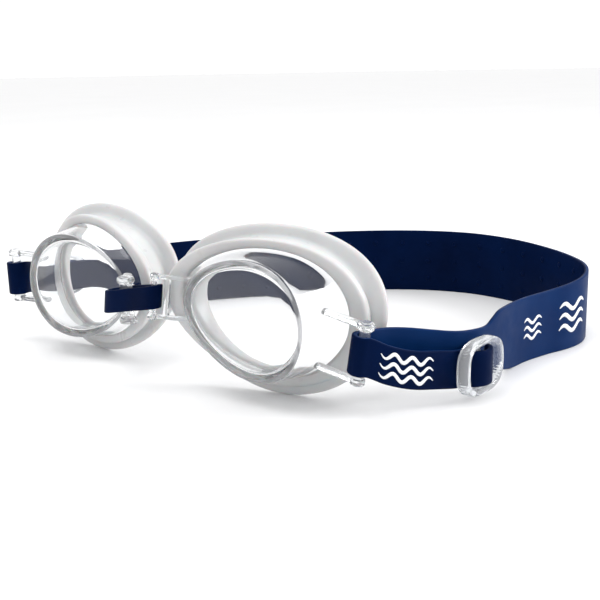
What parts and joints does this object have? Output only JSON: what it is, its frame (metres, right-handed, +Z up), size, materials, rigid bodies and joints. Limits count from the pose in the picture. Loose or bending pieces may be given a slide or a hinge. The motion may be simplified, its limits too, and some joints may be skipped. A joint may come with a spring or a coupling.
{
  "type": "swim goggles",
  "caption": "Swimming goggles with clear eye cups, soft stepped gaskets, a nose strap loop and a silicone head strap with ring adjusters.",
  "frame": {"origin": "middle of the whole seen from above, on the surface it lies on", "axes": "+X to the wearer's left, +Y from the lenses to the back of the head, +Z up as it lies"},
  "size_m": [0.167, 0.156, 0.0466],
  "materials": {
    "clear_plastic": "clear, polished",
    "clear_silicone": "milky, satin",
    "blue_silicone": "satin",
    "adjuster_plastic": "clear, moulded"
  },
  "bodies": {
    "head_strap": {"head_strap": "blue_silicone"},
    "left_cup": {"lens_cup_left": "clear_plastic", "gasket_left": "clear_silicone"},
    "right_cup": {"lens_cup_right": "clear_plastic", "gasket_right": "clear_silicone"},
    "nose_strap": {"nose_strap": "blue_silicone"},
    "left_adjuster": {"adjuster_left": "adjuster_plastic", "strap_end_left": "blue_silicone"},
    "right_adjuster": {"adjuster_right": "adjuster_plastic", "strap_end_right": "blue_silicone"}
  },
  "joints": [
    {"name": "left_cup_swing", "type": "hinge", "parent": "head_strap", "child": "left_cup", "pos_m": [0.06589, -0.06138, 0.01765], "axis": [0.1697, 0.0137, 0.9854], "range_deg": [-3, 2.5]},
    {"name": "right_cup_swing", "type": "hinge", "parent": "head_strap", "child": "right_cup", "pos_m": [-0.06965, -0.06964, 0.02223], "axis": [-0.0155, -0.0026, 0.9999], "range_deg": [-2.5, 3]},
    {"name": "nose_strap_turn", "type": "hinge", "parent": "left_cup", "child": "nose_strap", "pos_m": [0.00398, -0.07509, 0.02647], "axis": [0.1697, 0.0137, 0.9854], "range_deg": [-2.5, 3]},
    {"name": "left_adjuster_slide", "type": "slide", "parent": "head_strap", "child": "left_adjuster", "axis": [0, -1, 0], "range_m": [0, 0.008]},
    {"name": "right_adjuster_slide", "type": "slide", "parent": "head_strap", "child": "right_adjuster", "axis": [0, -1, 0], "range_m": [0, 0.008]}
  ],
  "couplings": [
    {"joint": "right_cup_swing", "follows": "left_cup_swing", "ratio": -1},
    {"joint": "nose_strap_turn", "follows": "left_cup_swing", "ratio": -1}
  ]
}
